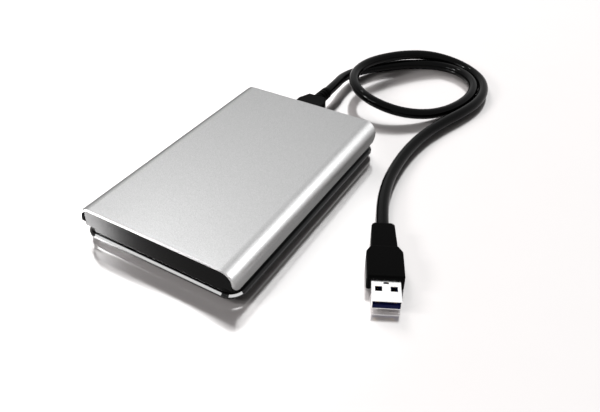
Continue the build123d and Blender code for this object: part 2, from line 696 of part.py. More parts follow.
with BuildPart() as lid_screws:
    with Locations(*[(x, y, lid_bottom + LID_SHEET) for x, y in pivot_screw_places]):
        Cylinder(LID_SCREW_HEAD_RADIUS, LID_RAISE, align=FLAT)
    with Locations(*[(x, y, lid_bottom + LID_SHEET - LID_SCREW_LENGTH) for x, y in pivot_screw_places]):
        Cylinder(LID_SCREW_RADIUS, LID_SCREW_LENGTH, align=FLAT)
save(lid_screws, "lid_screws")

# Spindle motor: fixed shaft and stator, turning hub and ring magnet
shaft_top = stack_top - HUB_WEB

with BuildPart() as spindle_shaft:
    with Locations((0, spindle_y, cavity_floor)):
        Cylinder(SHAFT_FLANGE_RADIUS, SHAFT_FLANGE_HEIGHT, align=FLAT)
        Cylinder(SHAFT_RADIUS, shaft_top - cavity_floor, align=FLAT)
save(spindle_shaft, "spindle_shaft")

with BuildPart() as motor_stator:
    with BuildSketch(Plane((0, spindle_y, stator_bottom))):
        Circle(stator_inner + STATOR_YOKE)
        with PolarLocations(0, STATOR_TEETH):
            Rectangle(stator_outer - TOOTH_WIDTH / 2, TOOTH_WIDTH, align=(Align.MIN, Align.CENTER))
        with PolarLocations(stator_outer - TOOTH_WIDTH / 2, STATOR_TEETH):
            Rectangle(TOOTH_WIDTH / 2, 2 * TOOTH_WIDTH, align=(Align.CENTER, Align.CENTER))
        Circle(stator_inner, mode=Mode.SUBTRACT)
    extrude(amount=STATOR_HEIGHT)
save(motor_stator, "motor_stator")

with BuildPart() as motor_magnet:
    with BuildSketch(Plane((0, spindle_y, stator_bottom))):
        Circle(hub_inner)
        Circle(hub_inner - MAGNET_RING, mode=Mode.SUBTRACT)
    extrude(amount=STATOR_HEIGHT)
save(motor_magnet, "motor_magnet")

hub_top = stack_top - SEAT_GAP
web_bottom = stack_top - HUB_WEB + SEAT_GAP

with BuildPart() as spindle_hub:
    with BuildSketch(Plane((0, spindle_y, hub_bottom))):
        Circle(DISC_BORE + HUB_FLANGE_WIDTH)
    extrude(amount=HUB_FLANGE_HEIGHT)
    with BuildSketch(Plane((0, spindle_y, hub_bottom))):
        Circle(DISC_BORE - RUN_FIT)
    extrude(amount=hub_top - hub_bottom)
    with BuildSketch(Plane((0, spindle_y, hub_bottom))):
        Circle(hub_inner)
        Circle(SHAFT_RADIUS + RUN_FIT + HUB_SLEEVE, mode=Mode.SUBTRACT)
    extrude(amount=stator_bottom + STATOR_HEIGHT + STATOR_AIR_GAP - hub_bottom, mode=Mode.SUBTRACT)
    with BuildSketch(Plane((0, spindle_y, hub_bottom))):
        Circle(SHAFT_RADIUS + RUN_FIT)
    extrude(amount=web_bottom - hub_bottom, mode=Mode.SUBTRACT)
    with BuildSketch(Plane((0, spindle_y, hub_bottom))):
        Circle(SHAFT_RADIUS + RUN_FIT + HUB_SLEEVE)
    extrude(amount=cavity_floor + SHAFT_FLANGE_HEIGHT + FIT_GAP - hub_bottom, mode=Mode.SUBTRACT)
    with Locations((0, spindle_y, hub_top)):
        Cylinder(
            CLAMP_SCREW_RADIUS,
            CLAMP_SCREW_LENGTH,
            align=(Align.CENTER, Align.CENTER, Align.MAX),
            mode=Mode.SUBTRACT,
        )
save(spindle_hub, "spindle_hub")

# Disc stack: discs, spacers between them, clamp and its screw
for i, height in enumerate(disc_bottoms):
    with BuildPart() as disc:
        with BuildSketch(Plane((0, spindle_y, height))):
            Circle(disc_radius)
            Circle(DISC_BORE, mode=Mode.SUBTRACT)
        extrude(amount=DISC_THICKNESS)
    save(disc, f"disc_{i + 1}")

for i, height in enumerate(disc_bottoms[:-1]):
    with BuildPart() as spacer:
        with BuildSketch(Plane((0, spindle_y, height + DISC_THICKNESS))):
            Circle(DISC_BORE + HUB_FLANGE_WIDTH)
            Circle(DISC_BORE, mode=Mode.SUBTRACT)
        extrude(amount=DISC_SPACING)
    save(spacer, f"disc_spacer_{i + 1}")

with BuildPart() as disc_clamp:
    with BuildSketch(Plane((0, spindle_y, stack_top))):
        Circle(DISC_BORE + HUB_FLANGE_WIDTH)
        Circle(CLAMP_SCREW_RADIUS + SEAT_GAP, mode=Mode.SUBTRACT)
        with PolarLocations((DISC_BORE + CLAMP_SCREW_RADIUS) / 2, CLAMP_HOLES):
            RegularPolygon(CLAMP_HOLE_RADIUS, 6, mode=Mode.SUBTRACT)
    extrude(amount=CLAMP_HEIGHT)
save(disc_clamp, "disc_clamp")

with BuildPart() as clamp_screw:
    with Locations((0, spindle_y, stack_top + CLAMP_HEIGHT)):
        Cylinder(CLAMP_SCREW_HEAD_RADIUS, CLAMP_SCREW_HEAD_HEIGHT, align=FLAT)
        Cylinder(CLAMP_SCREW_RADIUS, CLAMP_SCREW_LENGTH, align=(Align.CENTER, Align.CENTER, Align.MAX))
save(clamp_screw, "clamp_screw")

# Head actuator, parked with its heads just outside the discs
pivot_to_spindle = hypot(pivot_x, pivot_y - spindle_y)
spindle_angle = -degrees(acos(-pivot_x / pivot_to_spindle))
head_reach = pivot_to_spindle - HEAD_OFFSET


def arm_angle(track):
    """Direction of the arm, in degrees, that puts its heads a distance from the spindle."""
    cosine = (head_reach**2 + pivot_to_spindle**2 - track**2) / (2 * head_reach * pivot_to_spindle)
    return spindle_angle + degrees(acos(cosine))


park_angle = arm_angle(disc_radius + PARK_CLEARANCE)
swing = park_angle - arm_angle(INNER_TRACK)
print("head swing", round(swing, 2), "pivot", (pivot_x, round(pivot_y, 3)), "spindle", round(spindle_y, 3))
bearing_radius = PIVOT_RADIUS + RUN_FIT + BEARING_WALL
arm_hub_radius = bearing_radius + RUN_FIT + ARM_HUB_WALL
head_stack = SUSPENSION_THICKNESS + SLIDER_HEIGHT + HEAD_FLY
arm_thickness = DISC_SPACING - 2 * head_stack
arm_bottoms = [disc_bottoms[0] - head_stack - arm_thickness]
arm_bottoms += [height + DISC_THICKNESS + head_stack for height in disc_bottoms]
arm_top = arm_bottoms[-1] + arm_thickness
coil_bottom = (arm_bottoms[0] + arm_top - COIL_THICKNESS) / 2


def arm_plane(height):
    """Plane at a height with its origin on the pivot and its x axis along the parked arm."""
    direction = (cos(radians(park_angle)), sin(radians(park_angle)), 0)
    return Plane((pivot_x, pivot_y, height), x_dir=direction)


with BuildPart() as pivot_post:
    with Locations((pivot_x, pivot_y, cavity_floor)):
        Cylinder(PIVOT_RADIUS, lid_bottom - cavity_floor, align=FLAT)
    with Locations((pivot_x, pivot_y, lid_bottom)):
        Cylinder(
            LID_SCREW_RADIUS,
            LID_SCREW_LENGTH,
            align=(Align.CENTER, Align.CENTER, Align.MAX),
            mode=Mode.SUBTRACT,
        )
save(pivot_post, "pivot_post")

with BuildPart() as pivot_bearing:
    with BuildSketch(arm_plane(arm_bottoms[0])):
        Circle(bearing_radius)
        Circle(PIVOT_RADIUS + RUN_FIT, mode=Mode.SUBTRACT)
    extrude(amount=arm_top - arm_bottoms[0])
save(pivot_bearing, "pivot_bearing")

with BuildPart() as actuator_arm:
    with BuildSketch(arm_plane(arm_bottoms[0])):
        Circle(arm_hub_radius)
    extrude(amount=arm_top - arm_bottoms[0])
    for height in arm_bottoms:
        with BuildSketch(arm_plane(height)):
            tapered_strip(0, ARM_REACH, ARM_ROOT, ARM_TIP)
            with Locations((ARM_HOLE_REACH, 0)):
                Circle(ARM_HOLE_RADIUS, mode=Mode.SUBTRACT)
        extrude(amount=arm_thickness)
    with BuildSketch(arm_plane(coil_bottom)):
        ring_sector(bearing_radius, COIL_OUTER, 180, COIL_HALF_ANGLE + FORK_ANGLE)
        ring_sector(COIL_INNER, COIL_OUTER + FIT_GAP, 180, COIL_HALF_ANGLE, mode=Mode.SUBTRACT)
    extrude(amount=COIL_THICKNESS)
    with BuildSketch(arm_plane(arm_bottoms[0])):
        Circle(bearing_radius + RUN_FIT)
    extrude(amount=arm_top - arm_bottoms[0], mode=Mode.SUBTRACT)
save(actuator_arm, "actuator_arm")

coil_clear = degrees(SEAT_GAP / COIL_OUTER)
winding_angle = degrees(COIL_WINDING / ((COIL_INNER + COIL_OUTER) / 2))

with BuildPart() as voice_coil:
    with BuildSketch(arm_plane(coil_bottom)):
        ring_sector(COIL_INNER + SEAT_GAP, COIL_OUTER, 180, COIL_HALF_ANGLE - coil_clear)
        ring_sector(
            COIL_INNER + COIL_WINDING,
            COIL_OUTER - COIL_WINDING,
            180,
            COIL_HALF_ANGLE - winding_angle,
            mode=Mode.SUBTRACT,
        )
    extrude(amount=COIL_THICKNESS)
save(voice_coil, "voice_coil")

# Each head: a thin suspension on an arm's face and a slider under its tip
upper_faces = [height + arm_thickness for height in arm_bottoms[:-1]]
lower_faces = arm_bottoms[1:]

with BuildPart() as suspensions:
    for heights, direction in ((upper_faces, 1), (lower_faces, -1)):
        for height in heights:
            with BuildSketch(arm_plane(height)):
                tapered_strip(SUSPENSION_START, head_reach + LIFT_TAB, ARM_TIP, SUSPENSION_TIP)
            extrude(amount=direction * SUSPENSION_THICKNESS)
save(suspensions, "suspensions")

with BuildPart() as head_sliders:
    for heights, direction in ((upper_faces, 1), (lower_faces, -1)):
        for height in heights:
            with BuildSketch(arm_plane(height + direction * SUSPENSION_THICKNESS)):
                with Locations((head_reach, 0)):
                    Rectangle(SLIDER_LENGTH, SLIDER_WIDTH)
            extrude(amount=direction * SLIDER_HEIGHT)
save(head_sliders, "head_sliders")

# Voice coil motor: two steel yokes with a magnet each, held apart by posts
yoke_middle = park_angle + 180 - swing / 2
post_reach = YOKE_OUTER - YOKE_POST_RADIUS - FIT_GAP
post_half_angle = degrees((YOKE_POST_RADIUS + FIT_GAP) / post_reach)
post_angle = swing / 2 + COIL_HALF_ANGLE + FORK_ANGLE + post_half_angle + POST_CLEAR_ANGLE
yoke_half_angle = post_angle + post_half_angle
lower_magnet_top = coil_bottom - COIL_GAP
upper_magnet_bottom = coil_bottom + COIL_THICKNESS + COIL_GAP
lower_yoke_top = cavity_floor + YOKE_PLATE
upper_yoke_bottom = lid_bottom - FIT_GAP - YOKE_PLATE
magnet_half_angle = swing / 2 + COIL_HALF_ANGLE - FORK_ANGLE
post_directions = [yoke_middle - post_angle, yoke_middle + post_angle]
post_places = [(post_reach * cos(radians(a)), post_reach * sin(radians(a))) for a in post_directions]


def pivot_plane(height):
    """Plane at a height with its origin on the pivot."""
    return Plane((pivot_x, pivot_y, height))


with BuildPart() as lower_yoke:
    with BuildSketch(pivot_plane(cavity_floor)):
        ring_sector(YOKE_INNER, YOKE_OUTER, yoke_middle, yoke_half_angle)
    extrude(amount=YOKE_PLATE)
    with BuildSketch(pivot_plane(lower_yoke_top)):
        with Locations(*post_places):
            Circle(YOKE_POST_RADIUS)
    extrude(amount=upper_yoke_bottom - lower_yoke_top)
save(lower_yoke, "lower_yoke")

with BuildPart() as lower_magnet:
    with BuildSketch(pivot_plane(lower_yoke_top)):
        ring_sector(YOKE_INNER, YOKE_OUTER - YOKE_POST_RADIUS, yoke_middle, magnet_half_angle)
    extrude(amount=lower_magnet_top - lower_yoke_top)
save(lower_magnet, "lower_magnet")

with BuildPart() as upper_magnet:
    with BuildSketch(pivot_plane(upper_magnet_bottom)):
        ring_sector(YOKE_INNER, YOKE_OUTER - YOKE_POST_RADIUS, yoke_middle, magnet_half_angle)
    extrude(amount=upper_yoke_bottom - upper_magnet_bottom)
save(upper_magnet, "upper_magnet")

with BuildPart() as upper_yoke:
    with BuildSketch(pivot_plane(upper_yoke_bottom)):
        ring_sector(YOKE_INNER, YOKE_OUTER, yoke_middle, yoke_half_angle)
    extrude(amount=YOKE_PLATE)
save(upper_yoke, "upper_yoke")

# Parking ramp: a post with a thin finger between each pair of suspension tips
ramp_start = head_reach + LIFT_TAB + FIT_GAP
finger_start = head_reach + SLIDER_LENGTH

with BuildPart() as park_ramp:
    with BuildSketch(arm_plane(cavity_floor)):
        ring_sector(ramp_start, ramp_start + RAMP_DEPTH, 0, RAMP_HALF_ANGLE)
    extrude(amount=arm_top - cavity_floor)
    for height in arm_bottoms:
        with BuildSketch(arm_plane(height + (arm_thickness - RAMP_FINGER) / 2)):
            ring_sector(finger_start, ramp_start + RAMP_DEPTH, 0, RAMP_HALF_ANGLE)
        extrude(amount=RAMP_FINGER)
save(park_ramp, "park_ramp")

# Disk's own circuit board, its screws and chips
with BuildPart() as drive_board:
    with BuildSketch(Plane.XY.offset(drive_board_bottom)):
        with Locations((0, drive_board_rear)):
            Rectangle(drive_board_width, DRIVE_BOARD_LENGTH, align=(Align.CENTER, Align.MAX))
    extrude(amount=DRIVE_BOARD_THICKNESS)
save(drive_board, "drive_board")

drive_chips = {
    "controller_chip": (CONTROLLER_CHIP, (CONTROLLER_CHIP + DRIVE_CHIP_GAP) / 2),
    "memory_chip": (MEMORY_CHIP, -(MEMORY_CHIP + DRIVE_CHIP_GAP) / 2),
}
chip_y = (drive_board_front + drive_board_rear) / 2
for name, (size, x) in drive_chips.items():
    with BuildPart() as chip:
        with Locations((x, chip_y, drive_board_bottom + DRIVE_BOARD_THICKNESS)):
            Box(size, size, DRIVE_CHIP_HEIGHT, align=FLAT)
    save(chip, name)

# Micro-B plug: overmould with a grooved strain relief, and its steel shell
plug_face = rim_length / 2 + FIT_GAP
relief_start = plug_face + PLUG_B_BLOCK + PLUG_B_TAPER
relief_end = relief_start + RELIEF_LENGTH
groove_pitch = RELIEF_LENGTH / (RELIEF_GROOVES + 1)

with BuildPart() as micro_b_plug_body:
    with BuildSketch(Plane((PORT_X, plug_face, port_z - PLUG_B_THICKNESS / 2), x_dir=(0, 1, 0))):
        tapered_strip(0, PLUG_B_BLOCK, PLUG_B_WIDTH, PLUG_B_WIDTH)
        tapered_strip(PLUG_B_BLOCK, PLUG_B_BLOCK + PLUG_B_TAPER, PLUG_B_WIDTH, PLUG_B_NECK)
    extrude(amount=PLUG_B_THICKNESS)
    fillet(micro_b_plug_body.edges().filter_by(Axis.Z), PLUG_B_ROUND)
    fillet(micro_b_plug_body.faces().filter_by(Axis.Z).edges(), PLUG_B_ROUND)
    with Locations(Location((PORT_X, relief_start, port_z), (-90, 0, 0))):
        Cone(RELIEF_ROOT_RADIUS, RELIEF_TIP_RADIUS, RELIEF_LENGTH, align=FLAT)
    for i in range(RELIEF_GROOVES):
        groove_y = relief_start + (i + 1) * groove_pitch - RELIEF_GROOVE / 2
        with BuildSketch(Plane.XZ.offset(-groove_y)):
            with Locations((PORT_X, port_z)):
                Circle(RELIEF_ROOT_RADIUS + RELIEF_GROOVE_DEPTH)
                Circle(RELIEF_TIP_RADIUS - RELIEF_GROOVE_DEPTH / 2, mode=Mode.SUBTRACT)
        extrude(amount=-RELIEF_GROOVE, mode=Mode.SUBTRACT)
save(micro_b_plug_body, "micro_b_plug_body")

with BuildPart() as micro_b_plug_shell:
    with BuildSketch(Plane.XZ.offset(-plug_face)):
        with Locations((PORT_X, port_z)):
            Rectangle(PLUG_B_SHELL_WIDTH, PLUG_B_SHELL_HEIGHT)
            Rectangle(
                PLUG_B_SHELL_WIDTH - 2 * PLUG_B_SHELL_WALL,
                PLUG_B_SHELL_HEIGHT - 2 * PLUG_B_SHELL_WALL,
                mode=Mode.SUBTRACT,
            )
    extrude(amount=plug_face - socket_mouth + PLUG_B_INSERTION)
save(micro_b_plug_shell, "micro_b_plug_shell")

# USB-A plug, lying flat on the table
plug_direction = (cos(radians(PLUG_A_TURN)), sin(radians(PLUG_A_TURN)), 0)
plug_centre_z = PLUG_A_THICKNESS / 2
neck_bottom = plug_centre_z - PLUG_A_NECK_THICKNESS / 2
plug_length = PLUG_A_NECK_LENGTH + PLUG_A_SHOULDER + PLUG_A_BLOCK
shoulder_end = PLUG_A_NECK_LENGTH + PLUG_A_SHOULDER
neck_end = PLUG_A_NECK_LENGTH + PLUG_A_SHOULDER / 2


def plug_a_plane(height):
    """Plane at a height with its origin at the cable's end of the plug and x along it."""
    return Plane((PLUG_A_X, PLUG_A_Y, height), x_dir=plug_direction)


def plug_a_front(reach):
    """Upright plane across the plug, a distance along it, facing out of its mouth."""
    x = PLUG_A_X + reach * plug_direction[0]
    y = PLUG_A_Y + reach * plug_direction[1]
    across = (-plug_direction[1], plug_direction[0], 0)
    return Plane((x, y, plug_centre_z), x_dir=across, z_dir=plug_direction)


with BuildPart() as plug_a_neck:
    with BuildSketch(plug_a_plane(neck_bottom)):
        tapered_strip(0, neck_end, PLUG_A_NECK_REAR, PLUG_A_NECK_FRONT)
    extrude(amount=PLUG_A_NECK_THICKNESS)
    neck_rear = (PLUG_A_X, PLUG_A_Y, plug_centre_z)
    fillet(plug_a_neck.edges().filter_by(Axis.Z).sort_by_distance(neck_rear)[:2], PLUG_A_NECK_CORNER)
    fillet(plug_a_neck.faces().filter_by(Axis.Z).edges(), PLUG_A_ROUND)

with BuildPart() as usb_a_plug_body:
    with BuildSketch(plug_a_plane(0)):
        tapered_strip(PLUG_A_NECK_LENGTH, shoulder_end, PLUG_A_NECK_FRONT, PLUG_A_WIDTH)
        tapered_strip(shoulder_end, plug_length, PLUG_A_WIDTH, PLUG_A_WIDTH)
    extrude(amount=PLUG_A_THICKNESS)
    fillet(usb_a_plug_body.edges().filter_by(Axis.Z), PLUG_A_ROUND)
    fillet(usb_a_plug_body.faces().filter_by(Axis.Z).edges(), PLUG_A_ROUND)
    add(plug_a_neck.part)
save(usb_a_plug_body, "usb_a_plug_body")

with BuildPart() as usb_a_plug_shell:
    with BuildSketch(plug_a_front(plug_length)):
        Rectangle(USB_A_WIDTH, USB_A_HEIGHT)
        Rectangle(USB_A_WIDTH - 2 * USB_A_SHEET, USB_A_HEIGHT - 2 * USB_A_SHEET, mode=Mode.SUBTRACT)
    extrude(amount=USB_A_LENGTH)
    with BuildSketch(plug_a_plane(0)):
        with Locations((plug_length + USB_A_HOLE_REACH, 0)):
            with GridLocations(0, USB_A_HOLE_SPREAD, 1, 2):
                Rectangle(USB_A_HOLE_LENGTH, USB_A_HOLE_WIDTH)
    extrude(amount=PLUG_A_THICKNESS, mode=Mode.SUBTRACT)
    with BuildSketch(plug_a_plane(plug_centre_z)):
        with Locations((plug_length + USB_A_SLOT_REACH, 0)):
            Rectangle(USB_A_SLOT_LENGTH, USB_A_SLOT_WIDTH)
    extrude(amount=USB_A_HEIGHT, mode=Mode.SUBTRACT)
save(usb_a_plug_shell, "usb_a_plug_shell")

tongue_bottom = plug_centre_z - USB_A_HEIGHT / 2 + USB_A_SHEET
tongue_top = tongue_bottom + USB_A_TONGUE_THICKNESS
tongue_tip = plug_length + USB_A_LENGTH - FIT_GAP

with BuildPart() as usb_a_plug_tongue:
    with BuildSketch(plug_a_plane(tongue_bottom)):
        tapered_strip(
            plug_length,
            tongue_tip,
            USB_A_WIDTH - 2 * USB_A_SHEET - FIT_GAP,
            USB_A_WIDTH - 2 * USB_A_SHEET - FIT_GAP,
        )
    extrude(amount=USB_A_TONGUE_THICKNESS)
save(usb_a_plug_tongue, "usb_a_plug_tongue")

with BuildPart() as usb_a_plug_contacts:
    with BuildSketch(plug_a_plane(tongue_top)):
        with Locations((tongue_tip - USB_A_CONTACT_SETBACK - USB_A_CONTACT_LENGTH / 2, 0)):
            with GridLocations(0, USB_A_CONTACT_PITCH, 1, USB_A_CONTACT_COUNT):
                Rectangle(USB_A_CONTACT_LENGTH, USB_A_CONTACT_WIDTH)
    extrude(amount=USB_A_CONTACT_HEIGHT)
save(usb_a_plug_contacts, "usb_a_plug_contacts")

# Cable: leaves the micro-B plug, makes one loop over itself and runs to the USB-A plug
route = [
    (PORT_X, relief_end, port_z),
    (PORT_X, relief_end + EXIT_RUN, port_z),
    (-8.0, 122.4, 6.2),
    (-6.4, 136.6, 4.3),
    (1.0, 151.0, 3.2),
    (13.6, 164.6, 3.1),
    (28.4, 174.4, 3.1),
    (43.0, 177.2, 3.1),
    (56.4, 173.0, 3.1),
    (65.8, 162.6, 3.1),
    (68.8, 149.0, 3.1),
    (67.2, 134.6, 3.2),
    (62.0, 120.6, 3.4),
    (53.4, 109.0, 4.4),
    (41.0, 101.4, 6.2),
    (26.6, 99.6, 8.6),
    (13.4, 103.8, 10.9),
    (4.0, 113.6, 12.4),
    (-0.6, 126.6, 13.0),
    (0.4, 140.2, 13.2),
    (5.6, 152.8, 12.8),
    (14.6, 166.2, 11.2),
    (26.8, 178.2, 8.4),
    (41.6, 183.2, 5.4),
    (56.8, 180.2, 3.5),
    (68.5, 170.2, 3.1),
    (74.4, 155.8, 3.1),
    (74.8, 140.2, 3.1),
    (71.0, 124.8, 3.1),
    (65.4, 109.4, 3.1),
    (60.4, 91.4, 3.1),
    (58.4, 70.2, 3.1),
    (59.6, 49.0, 3.2),
    (62.8, 32.8, 3.6),
    (PLUG_A_X - EXIT_RUN * plug_direction[0], PLUG_A_Y - EXIT_RUN * plug_direction[1], plug_centre_z),
    (PLUG_A_X, PLUG_A_Y, plug_centre_z),
]
points = [Vector(*p) for p in route]
runs = [b - a for a, b in zip(points[:-1], points[1:])]
bend_radii = []
for before, after in zip(runs[:-1], runs[1:]):
    half_turn = radians(before.get_angle(after)) / 2
    bend_radii.append(0.45 * min(before.length, after.length) / tan(half_turn))
print("cable bend radii", [round(r, 1) for r in bend_radii])

with BuildPart() as usb_cable:
    with BuildLine() as cable_path:
        FilletPolyline(*points, radius=bend_radii)
    with BuildSketch(Plane(cable_path.line @ 0, z_dir=cable_path.line % 0)):
        Circle(CABLE_RADIUS)
    sweep()
print("cable length", round(sum(edge.length for edge in cable_path.edges()), 1))
save(usb_cable, "usb_cable")
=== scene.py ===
import json
from math import radians
from typing import NamedTuple

import bpy
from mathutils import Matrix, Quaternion, Vector


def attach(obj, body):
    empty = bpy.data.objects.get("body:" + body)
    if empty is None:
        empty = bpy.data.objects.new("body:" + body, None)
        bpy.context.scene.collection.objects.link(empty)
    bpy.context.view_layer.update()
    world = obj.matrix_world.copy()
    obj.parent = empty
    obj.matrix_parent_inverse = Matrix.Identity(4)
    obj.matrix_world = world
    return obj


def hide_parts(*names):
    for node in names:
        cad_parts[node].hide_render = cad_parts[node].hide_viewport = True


# Portable external hard drive with its loose USB cable, in metres, in the model's own frame

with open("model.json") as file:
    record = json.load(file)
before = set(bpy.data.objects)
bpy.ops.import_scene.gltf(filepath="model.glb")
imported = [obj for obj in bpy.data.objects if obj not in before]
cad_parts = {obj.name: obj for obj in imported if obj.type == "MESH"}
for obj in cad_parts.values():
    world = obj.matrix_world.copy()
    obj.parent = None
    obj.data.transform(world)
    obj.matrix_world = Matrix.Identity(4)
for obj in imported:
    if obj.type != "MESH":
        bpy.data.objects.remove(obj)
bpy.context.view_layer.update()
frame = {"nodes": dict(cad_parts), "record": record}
scene = bpy.context.scene
scene.view_settings.view_transform = "Standard"

# Camera: the photograph's viewpoint
CAMERA_PLACE = (0.14711, -0.19210, 0.18567)
CAMERA_TARGET = (0.03101, 0.00408, 0.0)
CAMERA_LENS = 36.23
CAMERA_SENSOR = 36
CAMERA_NEAR = 0.01

# Cable: the route's points in millimetres, from the strain relief to the USB-A plug.
# Where it passes over itself it lies up to 2.4 mm lower than the part's tube, close on its lower strand.
CABLE_DIAMETER = 0.006
CABLE_SEGMENTS = 10
CABLE_ROUNDNESS = 6
CABLE_ROUTE = [
    (-6, 98.175, 7.45),
    (-6, 110.175, 7.45),
    (-8, 122.4, 6.2),
    (-6.4, 136.6, 4.3),
    (1, 151, 3.2),
    (13.6, 164.6, 3.1),
    (28.4, 174.4, 3.1),
    (43, 177.2, 3.1),
    (56.4, 173, 3.1),
    (65.8, 162.6, 3.1),
    (68.8, 149, 3.1),
    (67.2, 134.6, 3.2),
    (62, 120.6, 3.4),
    (53.4, 109, 4.4),
    (41, 101.4, 6.2),
    (26.6, 99.6, 8.6),
    (13.4, 103.8, 10.3),
    (4, 113.6, 11.0),
    (-0.6, 126.6, 11.0),
    (0.4, 140.2, 10.8),
    (5.6, 152.8, 10.4),
    (14.6, 166.2, 9.6),
    (26.8, 178.2, 7.8),
    (41.6, 183.2, 5.4),
    (56.8, 180.2, 3.5),
    (68.5, 170.2, 3.1),
    (74.4, 155.8, 3.1),
    (74.8, 140.2, 3.1),
    (71, 124.8, 3.1),
    (65.4, 109.4, 3.1),
    (60.4, 91.4, 3.1),
    (58.4, 70.2, 3.1),
    (59.6, 49, 3.2),
    (62.8, 32.8, 3.6),
    (68.546, 16.339, 4.0),
    (73.9, 5.6, 4.0),
]


def grey(level):
    """A neutral colour."""
    return (level, level, level)


class Finish(NamedTuple):
    """An evenly grained surface: grain in waves per metre, relief in metres."""

    colour: tuple
    roughness: float
    metallic: float
    grain: float
    relief: float
    specular: float = 0.5
    contrast: float = 0.12


FINISHES = {
    "cable_black": Finish(grey(0.002), 0.1, 0.0, 900.0, 4e-7, specular=0.06),
    "plug_black": Finish(grey(0.002), 0.45, 0.0, 3800.0, 5e-5, specular=0.015),
    "black_rubber": Finish(grey(0.018), 0.72, 0.0, 2600.0, 6e-5, specular=0.2),
    # navy_plastic is painted shade: the tongue's blue is darkened almost to black, far below its real
    # bright blue, as the shade that falls on it
    "navy_plastic": Finish((0.004, 0.006, 0.05), 0.38, 0.0, 1800.0, 8e-6, specular=0.05),
    "white_plastic": Finish((0.72, 0.71, 0.68), 0.45, 0.0, 1500.0, 1e-5),
    "clear_plastic": Finish((0.9, 0.92, 0.94), 0.12, 0.0, 700.0, 5e-6),
    "grey_foam": Finish((0.10, 0.10, 0.105), 0.92, 0.0, 1100.0, 3e-4),
    "board_green": Finish((0.02, 0.16, 0.07), 0.36, 0.0, 1600.0, 1e-5),
    "chip_black": Finish((0.022, 0.022, 0.023), 0.55, 0.0, 3000.0, 2e-5),
    "bright_steel": Finish(grey(0.93), 0.2, 1.0, 1800.0, 6e-6),
    "screw_steel": Finish((0.45, 0.45, 0.47), 0.34, 1.0, 2400.0, 1e-5),
    "cast_metal": Finish((0.55, 0.56, 0.57), 0.5, 1.0, 1400.0, 4e-5),
    "mirror_disc": Finish((0.84, 0.85, 0.86), 0.06, 1.0, 500.0, 1e-6, contrast=0.03),
    "magnet_nickel": Finish((0.66, 0.65, 0.63), 0.22, 1.0, 1200.0, 8e-6),
    "coil_copper": Finish((0.70, 0.36, 0.18), 0.3, 1.0, 5000.0, 4e-5),
    "contact_gold": Finish((0.83, 0.62, 0.24), 0.24, 1.0, 2000.0, 5e-6),
}

# Roughness: how many times broader its grain is than the colour's, and how far it strays
BROAD_GRAIN = 40
ROUGHNESS_SPREAD = 0.12

# Noise lies mostly between these values
NOISE_LOW = 0.3
NOISE_HIGH = 0.7

# Satin silver cover: its flakes and clouds in waves per metre
SILVER_DARK = grey(0.33)
SILVER_LIGHT = grey(0.51)
SILVER_ROUGHNESS = (0.36, 0.42)
SILVER_EDGE_TINT = (*grey(0.1), 1)
SILVER_FLAKES = 3000.0
SILVER_CLOUDS = 24.0
SILVER_RELIEF = 1.2e-5

# Gloss black mouldings: their waves and specks in waves per metre
GLOSS_DARK = grey(0.001)
GLOSS_LIGHT = grey(0.003)
GLOSS_ROUGHNESS = (0.03, 0.06)
GLOSS_WAVES = 60.0
GLOSS_SPECKS = 2600.0
GLOSS_RELIEF = 1e-5
FRAME_SPECULAR = 0.028
BASE_SPECULAR = 0.2

# Clear light pipe
PIPE_TRANSMISSION = 0.85
PIPE_IOR = 1.49

# Floor: a polished white top over a dull body, mixed by the dull share
FLOOR_SIZE = 8.0
FLOOR_POLISH = Finish((0.98, 0.97, 0.97), 0.16, 1.0, 40.0, 0.0, contrast=0.005)
FLOOR_DULL_COLOUR = (0.94, 0.88, 0.87, 1)
FLOOR_DULL_SHARE = 0.36

# World: its strength as light, and where it is seen or mirrored
WORLD_FILL = 0.1
WORLD_SHOWN = 1.0


class Lamp(NamedTuple):
    """A rectangular soft light: size in metres, power in watts, roll in degrees."""

    place: tuple
    target: tuple
    size: tuple
    power: float
    roll: float = 0.0
    mirrored: bool = True
    only: tuple = ()


# The lamps with only some nodes draw these nodes' bright edges.
# If they lit the polished floor too, it would mirror them onto the walls.
LAMPS = {
    "key": Lamp((-1.3, 1.5, 1.2), (0.02, 0.03, 0), (0.8, 0.8), 66.0, mirrored=False),
    "softbox": Lamp((-0.73, 0.85, 0.9), (0, 0, 0), (0.9, 0.9), 1.1),
    "panel": Lamp((-0.54, 0.36, 0.94), (0, 0, 0), (0.08, 0.08), 1.3),
    "front_panel": Lamp((-0.66, -0.45, 0.52), (0, -0.06, 0), (0.12, 0.24), 5.0),
    "rim_panel": Lamp((-0.58, -0.77, 0.5), (-0.58, -0.06, 0), (0.46, 0.08), 4.0),
    "edge_light": Lamp(
        (0.42, 0.58, 0.55),
        (0.04, 0, 0.01),
        (0.8, 0.46),
        1.8,
        roll=-45.0,
        only=("top_cover", "bottom_cover", "usb_a_plug_shell"),
    ),
    "corner_panel": Lamp(
        (0.5, -0.33, 0.52),
        (0.04, -0.06, 0),
        (1.0, 0.2),
        24.0,
        only=("bottom_cover",),
    ),
    "edge_end_light": Lamp(
        (0.62, 0.36, 0.42),
        (0.04, -0.06, 0.018),
        (0.35, 0.35),
        2.6,
        only=("top_cover",),
    ),
}


# Shader helpers
def new_material(name):
    """An empty material with a principled shader."""
    material = bpy.data.materials.new(name)
    material.use_nodes = True
    return material


def principled(material):
    """The material's principled shader."""
    return material.node_tree.nodes["Principled BSDF"]


def noise(tree, scale, detail=3.0):
    """Noise over the object's own coordinates, with its scale in waves per metre."""
    place = tree.nodes.new("ShaderNodeTexCoord")
    texture = tree.nodes.new("ShaderNodeTexNoise")
    texture.inputs["Scale"].default_value = scale
    texture.inputs["Detail"].default_value = detail
    tree.links.new(place.outputs["Object"], texture.inputs["Vector"])
    return texture.outputs["Fac"]


